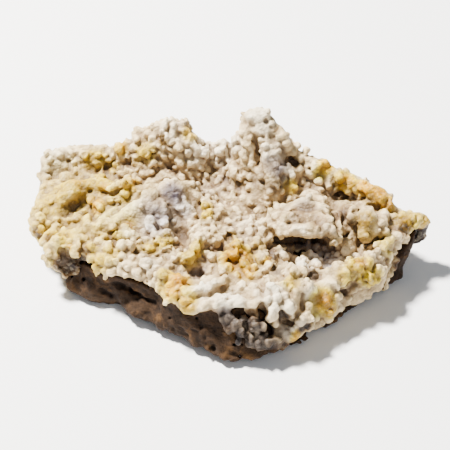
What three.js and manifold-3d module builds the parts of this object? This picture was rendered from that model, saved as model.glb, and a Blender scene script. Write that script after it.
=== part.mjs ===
// A hand specimen of quartz: a knobbly cream crust of quartz grown over a slab of brown matrix rock.
// Millimetres, +Z up. The rock lies on the flat of its underside at Z = 0, its long side runs along X,
// and the open hollow in the crust and the thick front lip face -Y.

import * as THREE from "three";
import { mergeVertices } from "three/addons/utils/BufferGeometryUtils.js";
import { SimplexNoise } from "three/addons/math/SimplexNoise.js";
import Module from "manifold-3d";

const wasm = await Module();
wasm.setup();

// Driving dimensions.
const bondGap = 0.3; // clear space between the rock and the crust that sits on it
const rockTop = 13; // height of the rock's upper face under the crust
const dentDepth = 2.6; // depth of the dents round the flat of the rock's underside
const rimBed = 1; // how far the rock reaches up behind the crust's rim
const rockSkirt = 3; // how far the rock's underside rounds up at its foot
const benchHeight = 21.5; // the crust's mean top at the middle of the slab
const benchSlope = 0.05; // rise of the bench per millimetre towards the back
const lipRound = 4; // round-over of the crust at its rim
const rimThickness = 2; // thickness of the crust's edge
const edgeRoughness = 1; // how far the crust's broken edge wanders from its outline
const knobRise = 0.8; // height of a knob over its radius
const crustFloor = rockTop - 4; // the crust reaches down to here before the rock is cut out of it
const crustColumns = 50; // grid of the crust's relief, along X
const crustRows = 32; // and along Y
const rockColumns = 18;
const rockRows = 12;
const strewnKnobs = 80; // knobs strewn over the crust besides the placed ones
const knobSize = { min: 3.4, max: 5.4 }; // radius of a strewn knob
const reach = { x: 77, y: 49 }; // half the plan size, which spreads a square grid over the outline

// Plan outlines, anticlockwise from the right-hand tip.
const crustOutline = [
  [77, 13], [71, 16], [64, 18], [59, 24], [50, 28], [40, 32], [28, 36], [18, 40], [7, 43],
  [-4, 45], [-13, 46], [-28, 48], [-42, 49], [-56, 51], [-67, 51], [-76, 46], [-76, 33],
  [-78, 17], [-73, 9], [-70, 2], [-69, -6], [-63, -8], [-56, -9], [-49, -13], [-38, -18],
  [-30, -24], [-23, -31], [-15, -37], [-5, -38], [8, -39], [17, -39], [25, -35], [32, -30],
  [38, -26], [44, -19], [51, -15], [57, -9], [60, -4], [63, 2], [69, 8],
];
const footOutline = [
  [66, 5], [58, 13], [46, 20], [28, 27], [8, 34], [-15, 38], [-40, 40], [-58, 37], [-64, 22],
  [-64, 6], [-62, -8], [-57, -12], [-45, -15], [-41, -19], [-38, -26], [-33, -25], [-25, -31],
  [-17, -36], [-11, -42], [-4, -44], [2, -48], [10, -44], [18, -42], [25, -36], [31, -30],
  [37, -26], [42, -20], [50, -14], [59, -8], [64, -1],
];
const shoulderOutline = [
  [75, 12.5], [62, 17], [46, 24], [28, 31], [8, 38], [-15, 42], [-40, 44], [-62, 43], [-69, 26],
  [-68, 10], [-62, -1], [-55, -6], [-47, -12], [-36, -17], [-27, -24], [-20, -31], [-12, -35],
  [0, -36], [9, -35], [17, -32], [25, -26], [34, -19], [43, -12], [52, -6], [61, -2], [66, 3],
  [71, 8],
];

// Height of the underside of the crust's rim at a plan angle, in degrees from +X.
const rimHeights = [
  [0, 12], [4, 16], [9, 16], [20, 17], [60, 17], [100, 16], [150, 13], [170, 12], [180, 11],
  [184, 13], [190, 13.5], [205, 13.5], [225, 16], [250, 18], [285, 18], [295, 9], [303, 4], [345, 4],
  [355, 8],
];

// Crest lines of the crust, [x, y, height], with the fall of their flanks in mm per mm.
const ridges = [
  {
    name: "backWall", fall: 1.3, round: 3,
    crest: [[-74, 41, 27.5], [-64, 46, 29.5], [-54, 45, 30.5], [-44, 45, 31.5], [-34, 44, 38]],
  },
  {
    name: "hump", fall: 1.9, round: 4,
    crest: [[-32, 44, 40], [-27, 44, 42], [-22, 43, 43], [-17, 42, 42]],
  },
  {
    name: "saddle", fall: 1.3, round: 3,
    crest: [[-16, 42, 37], [-11, 43, 30], [-5, 43, 34], [-1, 43, 36], [3, 41, 36.5], [6.5, 38, 41]],
  },
  {
    name: "peak", fall: 4, round: 4,
    crest: [[6.5, 37, 49], [8.5, 37, 53], [13, 36, 53], [18, 34, 48]],
  },
  {
    name: "spine", fall: 1.3, round: 2,
    crest: [[18, 34, 47], [22, 33, 44], [28, 32, 37.5], [37, 28.5, 32.5], [47, 26, 29.5]],
  },
  {
    name: "tip", fall: 1, round: 2,
    crest: [[47, 26, 30], [57, 22, 28], [62, 17, 22], [68, 13, 17.5], [74, 12, 16]],
  },
  {
    name: "leftBrow", fall: 1.4, round: 2,
    crest: [[-75, 20, 16], [-70, 15, 20], [-65, 20, 24], [-59, 26, 26]],
  },
  {
    name: "leftCrest", fall: 1.3, round: 2,
    crest: [[-59, 26, 26], [-52, 28, 28], [-45, 25, 27], [-35, 23, 29]],
  },
  {
    name: "lowerArm", fall: 1.2, round: 2,
    crest: [[-66, -1, 17], [-57, 3, 20], [-50, 2, 21], [-45, 5, 23]],
  },
  {
    name: "upperArm", fall: 1.1, round: 2,
    crest: [[-45, 5, 23], [-39, 10, 26], [-30, 14, 29], [-22, 19, 31], [-16, 21, 30]],
  },
  {
    name: "middleRib", fall: 1.5, round: 2,
    crest: [[-9, 12, 26], [-12, -5, 25], [-15, -11, 22], [-19, -16, 20]],
  },
  {
    name: "brow", fall: 1.5, round: 5,
    crest: [[19, 4, 26], [24, 9, 29], [30, 10, 30], [37, 6, 28]],
  },
  {
    name: "frontLip", fall: 1.2, round: 2,
    crest: [[-17, -33, 19], [-9, -34, 20], [1, -35, 21], [10, -36, 20]],
  },
  { name: "innerLip", fall: 1.4, round: 2, crest: [[-14, -30, 20], [-3, -26, 23]] },
  {
    name: "rightBench", fall: 1.2, round: 3,
    crest: [[20, -27, 20], [31, -25, 19], [45, -13, 19], [56, -5, 18], [62, 2, 18]],
  },
];

// Floors of the crust's open hollows, [x, y, height].
const hollows = [
  { name: "leftTerrace", fall: 1.6, round: 5, floor: [[-66, 9, 14], [-60, 19, 15], [-54, 20, 17]] },
  { name: "smoothBay", fall: 1.2, round: 3, floor: [[-27, 8, 22], [-20, 14, 22], [-16, 2, 18]] },
  { name: "ribPocket", fall: 2, round: 2, floor: [[-11, -18, 16]] },
  {
    name: "rightWell", fall: 1.1, round: 3,
    floor: [[19, -10, 16], [27, -11, 15], [38, -10, 15], [52, 0, 17]],
  },
  { name: "valley", fall: 0.5, round: 8, floor: [[-4, 32, 26], [2, 14, 23], [4, -6, 21]] },
];

// Undercuts: centre, half-sizes and turn about Z in degrees.
const undercuts = [
  { name: "cave", at: [28, -5, 19.6], half: [13, 9.5, 4.7], turn: -6 },
  { name: "crevice", at: [42, 3, 24], half: [1.5, 7, 6], turn: -15 },
  { name: "peakHole", at: [24, 28, 35], half: [2.5, 4, 2.5], turn: 0 },
  { name: "drapeSlot", at: [11, 29, 39], half: [1.2, 4, 6], turn: 0 },
  { name: "lipRecess", at: [5, -44, 12], half: [12, 6, 6], turn: 0 },
];

// Forms that stand clear of the relief or overhang it: centre, half-sizes, and turn about Z and tilt
// about X in degrees.
const masses = [
  { name: "browLeft", at: [21, -1, 25.5], half: [6, 8, 3.5], turn: 15, tilt: 14 },
  { name: "browMiddle", at: [29, -1, 26], half: [8, 9, 4.5], turn: 0, tilt: 16 },
  { name: "browRight", at: [37, -2, 25.5], half: [5.5, 8, 4], turn: -20, tilt: 14 },
  { name: "flapLeft", at: [45, 6, 24], half: [4, 5, 6.5], turn: 0, tilt: 0 },
  { name: "flapRight", at: [52, 4, 23], half: [5, 5.5, 7.5], turn: -10, tilt: 0 },
  { name: "tipLump", at: [67, 12.5, 16.5], half: [7, 4.5, 3.5], turn: 15, tilt: 0 },
  { name: "roundLump", at: [32, -24, 12], half: [8, 6, 8], turn: 35, tilt: 0 },
  { name: "yellowLump", at: [49, -12, 14], half: [9, 6, 6], turn: 35, tilt: 0 },
  { name: "edgeLump", at: [57, -3, 12], half: [5, 5, 6], turn: 45, tilt: 0 },
  { name: "frontColumn", at: [17, -33, 16], half: [5, 5.5, 7], turn: 0, tilt: 0 },
  { name: "drapeLeft", at: [6, 31, 37], half: [3.5, 3.5, 9], turn: 0, tilt: -12 },
  { name: "drapeRight", at: [16, 27, 35], half: [5, 5, 11], turn: 0, tilt: -16 },
  { name: "crestLeft", at: [43, 25, 26], half: [6, 5, 5], turn: -20, tilt: 0 },
  { name: "crestRight", at: [54, 20, 25], half: [7.5, 5, 5], turn: -35, tilt: 0 },
  { name: "pinkBlock", at: [-49, 19, 21], half: [6, 4, 5.5], turn: 35, tilt: 0 },
  { name: "longKnob", at: [-67, 6, 16.5], half: [7, 3, 3], turn: 50, tilt: 0 },
  { name: "cubeKnob", at: [-23, -8, 21.5], half: [3.5, 3, 3.5], turn: 20, tilt: 0 },
];

// Rows of knobs along a line, [x, y], seated on the relief.
const knobRows = [
  { name: "humpKnobs", size: 4, count: 6, line: [[-36, 42], [-27, 38], [-17, 37]] },
  { name: "humpFoot", size: 3.4, count: 6, line: [[-38, 33], [-26, 30], [-14, 34]] },
  { name: "backKnobs", size: 3.6, count: 7, line: [[-68, 42], [-55, 44], [-42, 42]] },
  { name: "leftKnobs", size: 3.4, count: 5, line: [[-70, 30], [-60, 34], [-46, 33]] },
  { name: "saddleKnobs", size: 3.2, count: 6, line: [[-12, 42], [-4, 40], [4, 36]] },
  { name: "peakKnobs", size: 3.6, count: 4, line: [[6, 36], [12, 34], [20, 31]] },
  { name: "spineKnobs", size: 3.4, count: 6, line: [[27, 29], [36, 26], [47, 20]] },
  { name: "valleyKnobs", size: 3, count: 7, line: [[-8, 26], [0, 22], [10, 14], [14, 4]] },
  { name: "valleyFoot", size: 3, count: 6, line: [[-6, 6], [2, 0], [10, -3]] },
  { name: "benchKnobs", size: 3.6, count: 7, line: [[-48, -6], [-38, -10], [-28, -16], [-22, -24]] },
  { name: "benchBack", size: 3.2, count: 5, line: [[-40, 2], [-32, -3], [-22, -14]] },
  { name: "leftEdgeKnobs", size: 3.6, count: 5, line: [[-73, 12], [-69, -1], [-58, -2]] },
  { name: "frontBench", size: 3, count: 6, line: [[-8, -22], [2, -16], [12, -22], [8, -30]] },
  { name: "caveKnobs", size: 2.8, count: 5, line: [[14, -12], [22, -17], [20, -25]] },
  { name: "rightKnobs", size: 3.2, count: 6, line: [[40, -19], [52, -8], [60, 2], [64, 8]] },
];

// Knobs that hang on the rock's front below the lip.
const frontKnobs = [
  [-2, -38, 13, 3.2], [4, -39, 10, 3.6], [9, -39, 13, 3], [10, -40, 6, 3.4], [15, -38, 9, 3.4],
  [22, -35, 8, 4.4], [26, -32, 14, 3.4], [14, -40, 3.6, 2.6],
];

// Pits in the rock: centre and half-sizes.
const rockPits = [
  { name: "slot", at: [-32, -23, 10], half: [8, 2.6, 1.3], turn: -36 },
  { name: "leftPit", at: [-44, -16, 6], half: [3.2, 2.4, 1.6], turn: -30 },
  { name: "cornerPit", at: [-58, -9, 9], half: [2, 2, 1], turn: 0 },
  { name: "frontPit", at: [-7, -42, 4.5], half: [1.8, 2.2, 1.3], turn: 0 },
  { name: "frontSlit", at: [2, -45, 4.5], half: [3, 2.4, 1], turn: 0 },
];

function seeded(seed) {
  let state = seed;
  return () => {
    state = (state * 1664525 + 1013904223) % 4294967296;
    return state / 4294967296;
  };
}

const noise = new SimplexNoise({ random: seeded(11) });

function smoothMax(a, b, blend) {
  const h = Math.max(blend - Math.abs(a - b), 0) / blend;
  return Math.max(a, b) + (h * h * blend) / 4;
}

function smoothMin(a, b, blend) {
  return -smoothMax(-a, -b, blend);
}

// Distance in plan from (x, y) to a line of [x, y, height], and the height at the nearest point.
function nearest(line, x, y) {
  let best = { distance: Infinity, height: 0 };
  for (let i = 0; i < Math.max(line.length - 1, 1); i++) {
    const [ax, ay, az] = line[i];
    const [bx, by, bz] = line[Math.min(i + 1, line.length - 1)];
    const lengthSquared = (bx - ax) ** 2 + (by - ay) ** 2 || 1;
    const along = ((x - ax) * (bx - ax) + (y - ay) * (by - ay)) / lengthSquared;
    const t = THREE.MathUtils.clamp(along, 0, 1);
    const distance = Math.hypot(x - ax - t * (bx - ax), y - ay - t * (by - ay));
    if (distance < best.distance) best = { distance, height: az + t * (bz - az) };
  }
  return best;
}

// Rise of a flank at a distance from its line, rounded near the line.
function flank(distance, { fall, round }) {
  return fall * (Math.hypot(distance, round) - round);
}

// Height of the crust's top surface before its knobs.
function reliefAt(x, y) {
  let z = benchHeight + benchSlope * y;
  for (const hollow of hollows) {
    const { distance, height } = nearest(hollow.floor, x, y);
    z = smoothMin(z, height + flank(distance, hollow), 3);
  }
  for (const ridge of ridges) {
    const { distance, height } = nearest(ridge.crest, x, y);
    z = smoothMax(z, height - flank(distance, ridge), 3);
  }
  return z;
}

// Height of the crust's top surface, each knob a dome on the relief.
function topAt(x, y) {
  let rise = 0;
  for (const knob of knobs) {
    const away = Math.hypot(x - knob.x, y - knob.y) / knob.size;
    if (away < 1) rise = Math.max(rise, knob.size * knobRise * Math.sqrt(1 - away * away));
  }
  return reliefAt(x, y) + rise;
}

// A closed plan outline as a function that gives its radius at a plan angle.
function outlineRadius(points) {
  const curve = new THREE.CatmullRomCurve3(
    points.map(([x, y]) => new THREE.Vector3(x, y, 0)), true, "centripetal",
  );
  const rim = curve.getPoints(points.length * 4);
  return periodic(rim.map(({ x, y }) => [Math.atan2(y, x), Math.hypot(x, y)]), 2 * Math.PI);
}

// Linear interpolation through [position, value] pairs that repeat with a period.
function periodic(pairs, period) {
  const wrapped = pairs.map(([p, v]) => [((p % period) + period) % period, v]);
  const sorted = wrapped.sort((a, b) => a[0] - b[0]);
  const first = sorted[0];
  const last = sorted[sorted.length - 1];
  const ring = [[last[0] - period, last[1]], ...sorted, [first[0] + period, first[1]]];
  return (position) => {
    const p = ((position % period) + period) % period;
    const i = ring.findIndex((pair) => pair[0] > p);
    const [[p0, v0], [p1, v1]] = [ring[i - 1], ring[i]];
    return v0 + ((v1 - v0) * (p - p0)) / (p1 - p0 || 1);
  };
}

// The knobs of the rows, and as many strewn over the slab, no two closer than their own width.
function knobLayout(random) {
  const layout = knobRows.flatMap(({ line, count, size }) => {
    const curve = new THREE.CatmullRomCurve3(line.map(([x, y]) => new THREE.Vector3(x, y, 0)));
    const places = curve.getSpacedPoints(count - 1);
    return places.map(({ x, y }) => ({ x, y, size: size * (0.85 + 0.3 * random()) }));
  });
  const full = layout.length + strewnKnobs;
  while (layout.length < full) {
    const angle = 2 * Math.PI * random();
    const radius = crustRadius(angle) * Math.sqrt(random());
    const x = radius * Math.cos(angle);
    const y = radius * Math.sin(angle);
    const size = THREE.MathUtils.lerp(knobSize.min, knobSize.max, random());
    const clear = layout.every((knob) => Math.hypot(knob.x - x, knob.y - y) > size + knob.size / 2);
    if (clear) layout.push({ x, y, size });
  }
  return layout;
}

const crustRadius = outlineRadius(crustOutline);
const footRadius = outlineRadius(footOutline);
const shoulderRadius = outlineRadius(shoulderOutline);
const rimHeight = periodic(rimHeights, 360);
const knobs = knobLayout(seeded(5));

// A box grid whose square rings are spread over a round plan outline: each vertex is given to place()
// as its plan angle, its share of the way to the rim and its share of the height.
function spreadGrid(columns, rows, layers, place) {
  const geometry = new THREE.BoxGeometry(2, 2, 1, columns, rows, layers);
  const position = geometry.attributes.position;
  for (let i = 0; i < position.count; i++) {
    const px = position.getX(i);
    const py = position.getY(i);
    const share = Math.max(Math.abs(px), Math.abs(py));
    const angle = Math.atan2(py * reach.y, px * reach.x);
    position.setXYZ(i, ...place(angle, share, position.getZ(i) + 0.5));
  }
  return toSolid(geometry);
}

// A closed geometry as a solid that can be joined and cut.
function toSolid(geometry) {
  const bare = new THREE.BufferGeometry()
    .setAttribute("position", geometry.attributes.position)
    .setIndex(geometry.index);
  const merged = mergeVertices(bare, 1e-4);
  return new wasm.Manifold(new wasm.Mesh({
    numProp: 3,
    vertProperties: merged.attributes.position.array,
    triVerts: new Uint32Array(merged.index.array),
  }));
}

// The solids joined into one.
function joined(solids) {
  return solids.reduce((whole, solid) => whole.add(solid));
}

// The triangles of a solid's largest shell, without crumbs cut loose and voids closed in by knobs.
function largestShell({ triVerts }) {
  const parent = new Map();
  const root = (v) => {
    while ((parent.get(v) ?? v) !== v) v = parent.get(v);
    return v;
  };
  for (let i = 0; i < triVerts.length; i++) {
    parent.set(root(triVerts[i]), root(triVerts[i - (i % 3)]));
  }
  const shells = Map.groupBy(Array.from(triVerts), root);
  return [...shells.values()].reduce((a, b) => (b.length > a.length ? b : a));
}

// A solid as a geometry, flat-shaded.
function toGeometry(solid) {
  const mesh = solid.getMesh();
  const geometry = new THREE.BufferGeometry()
    .setAttribute("position", new THREE.BufferAttribute(new Float32Array(mesh.vertProperties), 3))
    .setIndex(largestShell(mesh));
  return geometry.toNonIndexed();
}

// How full the section is at a share of the way to the rim: 1 inside, falling in a quarter round to 0.
function quarterRound(share, radius, round) {
  const inside = Math.min(((1 - share) * radius) / round, 1);
  return Math.sqrt(1 - (1 - inside) ** 2);
}

// The rock: a rough slab whose wall leans from its foot to its shoulder, swollen all round by grow.
function rockBody(grow) {
  return spreadGrid(rockColumns, rockRows, 5, (angle, share, height) => {
    const foot = footRadius(angle);
    const lean = THREE.MathUtils.smoothstep(height, 0.15, 0.9);
    const radius = THREE.MathUtils.lerp(foot, shoulderRadius(angle), lean);
    const dent = noise.noise(share * Math.cos(angle) * 3.5, share * Math.sin(angle) * 2);
    const dents = Math.max(0, dentDepth * dent - 0.4) * THREE.MathUtils.smoothstep(share, 0.3, 0.55);
    const rim = rimHeight(THREE.MathUtils.radToDeg(angle)) + rimBed;
    const top = THREE.MathUtils.lerp(rockTop, rim, THREE.MathUtils.smoothstep(share, 0.6, 0.95));
    const skirt = rockSkirt * (1 - quarterRound(share, foot, 2 * rockSkirt));
    const underside = Math.min(dents + skirt, top / 2);
    const z = Math.max(underside, height * top);
    const rough = share === 1 ? 1.2 * noise.noise3d(angle * 6, 1, z / 5) : 0;
    const reached = (radius + grow) * share + rough;
    const lift = grow * (Number(height === 1) - Number(height === 0));
    return [reached * Math.cos(angle), reached * Math.sin(angle), z + lift];
  });
}

// The crust's slab: the relief above, and a floor that the rock is cut out of below.
function crustSlab() {
  return spreadGrid(crustColumns, crustRows, 1, (angle, share, height) => {
    const raggedness = edgeRoughness * THREE.MathUtils.smoothstep(share, 0.85, 1);
    const radius = crustRadius(angle) + raggedness * noise.noise3d(angle * 9, 5, 3 * height);
    const x = share * radius * Math.cos(angle);
    const y = share * radius * Math.sin(angle);
    const rim = rimHeight(THREE.MathUtils.radToDeg(angle));
    const fullness = quarterRound(share, radius, lipRound);
    const top = THREE.MathUtils.lerp(rim + rimThickness, topAt(x, y), fullness);
    const floor = THREE.MathUtils.lerp(rim, Math.min(rim, crustFloor), fullness);
    return [x, y, height === 1 ? top : floor];
  });
}

// One rough rounded form, an icosahedron pushed about by noise.
function lump({ at, half, turn = 0, tilt = 0 }, detail) {
  const geometry = new THREE.IcosahedronGeometry(1, detail);
  const position = geometry.attributes.position;
  const point = new THREE.Vector3();
  for (let i = 0; i < position.count; i++) {
    point.fromBufferAttribute(position, i);
    const where = point.toArray().map((part, axis) => 1.5 * part + at[axis]);
    point.multiplyScalar(1 + 0.12 * noise.noise3d(...where));
    position.setXYZ(i, ...point.toArray());
  }
  geometry.scale(...half);
  geometry.rotateX(THREE.MathUtils.degToRad(tilt));
  geometry.rotateZ(THREE.MathUtils.degToRad(turn));
  geometry.translate(...at);
  return toSolid(geometry);
}

function quartzCrust() {
  const hanging = frontKnobs.map(([x, y, z, size]) => {
    return lump({ at: [x, y, z], half: [size, size, 1.15 * size] }, 1);
  });
  const cut = joined(undercuts.map((undercut) => lump(undercut, 1)));
  const shell = joined([crustSlab(), ...masses.map((mass) => lump(mass, 1))]).subtract(cut);
  return joined([shell, ...hanging]).subtract(rockBody(bondGap));
}

function matrixRock() {
  return rockBody(0).subtract(joined(rockPits.map((pit) => lump(pit, 1))));
}

function named(name, solid, material) {
  const mesh = new THREE.Mesh(toGeometry(solid), material);
  mesh.name = name;
  return mesh;
}

const creamQuartz = new THREE.MeshStandardMaterial({ color: 0xdcd0b8, roughness: 0.55, metalness: 0 });
const brownRock = new THREE.MeshStandardMaterial({ color: 0x6b4a32, roughness: 0.9, metalness: 0 });

const specimen = new THREE.Group();
specimen.add(named("quartz_crust", quartzCrust(), creamQuartz));
specimen.add(named("matrix_rock", matrixRock(), brownRock));

// The origin is the middle of the whole specimen's box, at the height of its resting face.
const box = new THREE.Box3().setFromObject(specimen);
const middle = box.getCenter(new THREE.Vector3());
specimen.position.set(-middle.x, -middle.y, -box.min.z);

export default specimen;
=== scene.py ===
# A quartz specimen: a knobbly cream crust of quartz on a slab of brown rock.
# Lengths are in mm until a mesh is made, and places on the crust are given in pixels of the 450 px view.
import math

import bpy
import numpy as np
import openvdb
from mathutils import Matrix, Vector
from mathutils.kdtree import KDTree


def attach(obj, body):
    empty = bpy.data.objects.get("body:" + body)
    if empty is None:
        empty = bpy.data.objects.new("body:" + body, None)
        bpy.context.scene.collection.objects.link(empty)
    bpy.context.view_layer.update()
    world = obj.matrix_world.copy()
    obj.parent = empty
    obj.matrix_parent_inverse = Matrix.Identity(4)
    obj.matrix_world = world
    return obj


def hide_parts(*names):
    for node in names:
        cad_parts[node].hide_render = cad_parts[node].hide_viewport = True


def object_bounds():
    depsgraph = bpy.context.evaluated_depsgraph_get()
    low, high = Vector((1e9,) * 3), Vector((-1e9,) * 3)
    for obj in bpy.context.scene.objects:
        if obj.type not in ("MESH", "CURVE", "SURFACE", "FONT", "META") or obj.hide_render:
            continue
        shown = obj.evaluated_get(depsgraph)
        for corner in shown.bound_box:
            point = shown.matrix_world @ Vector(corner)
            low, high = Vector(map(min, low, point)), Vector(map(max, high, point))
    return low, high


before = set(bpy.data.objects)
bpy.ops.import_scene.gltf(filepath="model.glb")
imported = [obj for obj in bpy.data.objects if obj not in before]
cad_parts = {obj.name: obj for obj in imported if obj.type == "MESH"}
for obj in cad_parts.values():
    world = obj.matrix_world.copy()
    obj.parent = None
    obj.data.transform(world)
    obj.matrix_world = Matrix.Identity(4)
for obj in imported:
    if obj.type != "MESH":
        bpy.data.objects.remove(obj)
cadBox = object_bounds()
mmPerMetre = 1000
print("frame loaded")

# The camera looks down at the specimen from the front.
viewPlan = {
    "aim": (-1.71, 2.72, 23.48),
    "distance": 480.0,
    "tilt": 38.0,  # degrees looking down
    "pixelsPerMm": 2.69,  # at the aim point
    "frameWidth": 450,
    "sensorWidth": 36.0,
    "nearest": 0.01,  # metres, closer than this nothing is drawn
}
tilt = math.radians(viewPlan["tilt"])
lookWay = np.array([0.0, math.cos(tilt), -math.sin(tilt)])
upWay = np.array([0.0, math.sin(tilt), math.cos(tilt)])
rightWay = np.array([1.0, 0.0, 0.0])
eye = np.array(viewPlan["aim"]) - viewPlan["distance"] * lookWay
focalPixels = viewPlan["pixelsPerMm"] * viewPlan["distance"]
middlePixel = viewPlan["frameWidth"] / 2


def aimed(place, way):
    turn = Vector(way).to_track_quat("-Z", "Y").to_matrix().to_4x4()
    return Matrix.Translation(Vector(place)) @ turn


def makeCamera():
    data = bpy.data.cameras.new("viewCamera")
    data.sensor_width = viewPlan["sensorWidth"]
    data.lens = focalPixels * viewPlan["sensorWidth"] / viewPlan["frameWidth"]
    data.clip_start = viewPlan["nearest"]
    camera = bpy.data.objects.new("viewCamera", data)
    bpy.context.scene.collection.objects.link(camera)
    camera.matrix_world = aimed(eye / mmPerMetre, lookWay)
    bpy.context.scene.camera = camera


def rayWays(pixels):
    pixels = np.asarray(pixels, float)
    across = (pixels[:, 0] - middlePixel) / focalPixels
    down = (pixels[:, 1] - middlePixel) / focalPixels
    ways = lookWay + across[:, None] * rightWay - down[:, None] * upWay
    return ways / np.linalg.norm(ways, axis=1, keepdims=True)


def toPixels(points):
    away = points - eye
    depth = away @ lookWay
    return np.stack([middlePixel + focalPixels * (away @ rightWay) / depth,
                     middlePixel - focalPixels * (away @ upWay) / depth], axis=1)


makeCamera()
print("camera placed")

# A field holds the distance to a surface at each point of one grid of voxels, and is negative inside.
fieldPlan = {
    "voxel": 0.4,
    "margin": 3.5,  # room left around the specimen
    "reach": 4.0,  # how far from a surface its distance is kept
    "blurReach": 2.5,  # times the spread of the blur
    "slopeReach": 1.5,  # voxels
    "barRoom": 1.3,  # times a bar's radius, to leave room for its warp
    "warp": [(1, 1.6, 7), (0.35, 0.9, 6)],  # unevenness of the bars: amount, size and seed
    "castNear": 95,  # a ray looks for the surface from here before the aim point
    "castFar": 110,  # to here behind it
    "castStep": 0.3,
    "tiny": 1e-6,
}
voxel = fieldPlan["voxel"]
gridLow = np.array(cadBox[0]) * mmPerMetre - fieldPlan["margin"]
gridHigh = np.array(cadBox[1]) * mmPerMetre + fieldPlan["margin"]
gridShape = tuple(int(n) for n in np.ceil((gridHigh - gridLow) / voxel) + 1)


def openGrid(field):
    grid = openvdb.FloatGrid(background=fieldPlan["reach"])
    grid.transform = openvdb.createLinearTransform(voxelSize=voxel)
    grid.copyFromArray(field)
    return grid


def distanceField(node):
    mesh = node.data
    mesh.calc_loop_triangles()
    points = np.empty(len(mesh.vertices) * 3, np.float32)
    mesh.vertices.foreach_get("co", points)
    corners = np.empty(len(mesh.loop_triangles) * 3, np.int32)
    mesh.loop_triangles.foreach_get("vertices", corners)
    grid = openvdb.FloatGrid.createLevelSetFromPolygons(
        (points.reshape(-1, 3) * mmPerMetre - gridLow).astype(np.float32),
        triangles=corners.reshape(-1, 3).astype(np.uint32),
        transform=openvdb.createLinearTransform(voxelSize=voxel),
        halfWidth=fieldPlan["reach"] / voxel)
    field = np.empty(gridShape, np.float32)
    grid.copyToArray(field)
    return field


def blurred(field, spread):
    half = int(math.ceil(fieldPlan["blurReach"] * spread / voxel))
    taps = np.exp(-0.5 * (np.arange(-half, half + 1) * voxel / spread) ** 2)
    taps = (taps / taps.sum()).astype(np.float32)
    for axis in range(3):
        edge = [(half, half) if a == axis else (0, 0) for a in range(3)]
        padded = np.pad(field, edge, mode="edge")
        out = np.zeros_like(field)
        for shift, tap in enumerate(taps):
            part = [slice(None)] * 3
            part[axis] = slice(shift, shift + field.shape[axis])
            out += tap * padded[tuple(part)]
        field = out
    return field


# Large cells that cover the grid along each axis, with spare ones past its end.
def cellCounts(cell):
    spare = 3
    return [int(n * voxel / cell) + spare for n in gridShape]


# Stretches values given at the corners of large cells over the whole grid.
def stretched(values, cell):
    for axis, size in enumerate(gridShape):
        place = np.arange(size) * voxel / cell
        whole = place.astype(int)
        part = place - whole
        part = (part * part * (3 - 2 * part)).astype(np.float32)
        part = part.reshape([size if a == axis else 1 for a in range(3)])
        values = np.take(values, whole, axis) * (1 - part) + np.take(values, whole + 1, axis) * part
    return values


# Smooth random field with bumps about one cell across, between -1 and 1.
def noiseField(cell, seed):
    draw = np.random.default_rng(seed)
    return stretched(draw.uniform(-1, 1, cellCounts(cell)).astype(np.float32), cell)


def noiseSum(layers):
    return sum(amount * noiseField(cell, seed) for amount, cell, seed in layers)


def sampled(field, points):
    place = (np.asarray(points) - gridLow) / voxel
    place = np.clip(place, 0, np.array(gridShape) - 1.001)  # just inside the last voxel
    whole = place.astype(int)
    part = place - whole
    total = np.zeros(len(place))
    for corner in range(8):
        step = [(corner >> a) & 1 for a in range(3)]
        weight = np.ones(len(place))
        for a in range(3):
            weight *= part[:, a] if step[a] else 1 - part[:, a]
        total += weight * field[whole[:, 0] + step[0], whole[:, 1] + step[1], whole[:, 2] + step[2]]
    return total


def outward(field, points):
    reach = fieldPlan["slopeReach"] * voxel
    slope = np.stack([sampled(field, points + reach * way) - sampled(field, points - reach * way)
                      for way in np.eye(3)], axis=1)
    return slope / np.maximum(np.linalg.norm(slope, axis=1, keepdims=True), fieldPlan["tiny"])


def smoothMin(a, b, blend):
    mix = np.maximum(blend - np.abs(a - b), 0) / blend
    return np.minimum(a, b) - mix * mix * blend / 4


# Adds a round-ended bar to a field, or carves it out.
def stamp(field, start, end, startRadius, endRadius, blend, carve=False, warp=0.0):
    start, end = np.asarray(start, float), np.asarray(end, float)
    reach = max(startRadius, endRadius) * fieldPlan["barRoom"] + blend + voxel
    low = np.maximum(((np.minimum(start, end) - reach - gridLow) / voxel).astype(int), 0)
    high = np.minimum(((np.maximum(start, end) + reach - gridLow) / voxel).astype(int) + 2, gridShape)
    if np.any(high <= low):
        return
    part = tuple(slice(a, b) for a, b in zip(low, high))
    x, y, z = [(gridLow[a] + voxel * np.arange(low[a], high[a]) - start[a]).astype(np.float32)
               .reshape([-1 if b == a else 1 for b in range(3)]) for a in range(3)]
    bar = (end - start).astype(np.float32)
    length = float(bar @ bar)
    along = 0.0
    if length > fieldPlan["tiny"]:
        along = np.clip((x * bar[0] + y * bar[1] + z * bar[2]) / length, 0, 1)
    away = np.sqrt((x - along * bar[0]) ** 2 + (y - along * bar[1]) ** 2 + (z - along * bar[2]) ** 2)
    away -= startRadius + (endRadius - startRadius) * along
    if warp:
        away += warp * barWarp[part]
    if carve:
        field[part] = -smoothMin(-field[part], away, blend)
    else:
        field[part] = smoothMin(field[part], away, blend)


# First point of a field met by the ray through each pixel, or the nearest miss.
def castPixels(field, pixels):
    ways = rayWays(pixels)
    steps = np.arange(viewPlan["distance"] - fieldPlan["castNear"],
                      viewPlan["distance"] + fieldPlan["castFar"], fieldPlan["castStep"])
    points = eye + ways[:, None, :] * steps[None, :, None]
    values = sampled(field, points.reshape(-1, 3)).reshape(len(ways), len(steps))
    hit = values < 0
    first = np.where(hit.any(1), hit.argmax(1), values.argmin(1))
    return points[np.arange(len(ways)), first], ways


def pixelsToMm(size, point):
    return size * float((point - eye) @ lookWay) / focalPixels


def castLine(field, line, width):
    points, ways = castPixels(field, line)
    return points, ways, np.array([pixelsToMm(width, point) for point in points])


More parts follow.
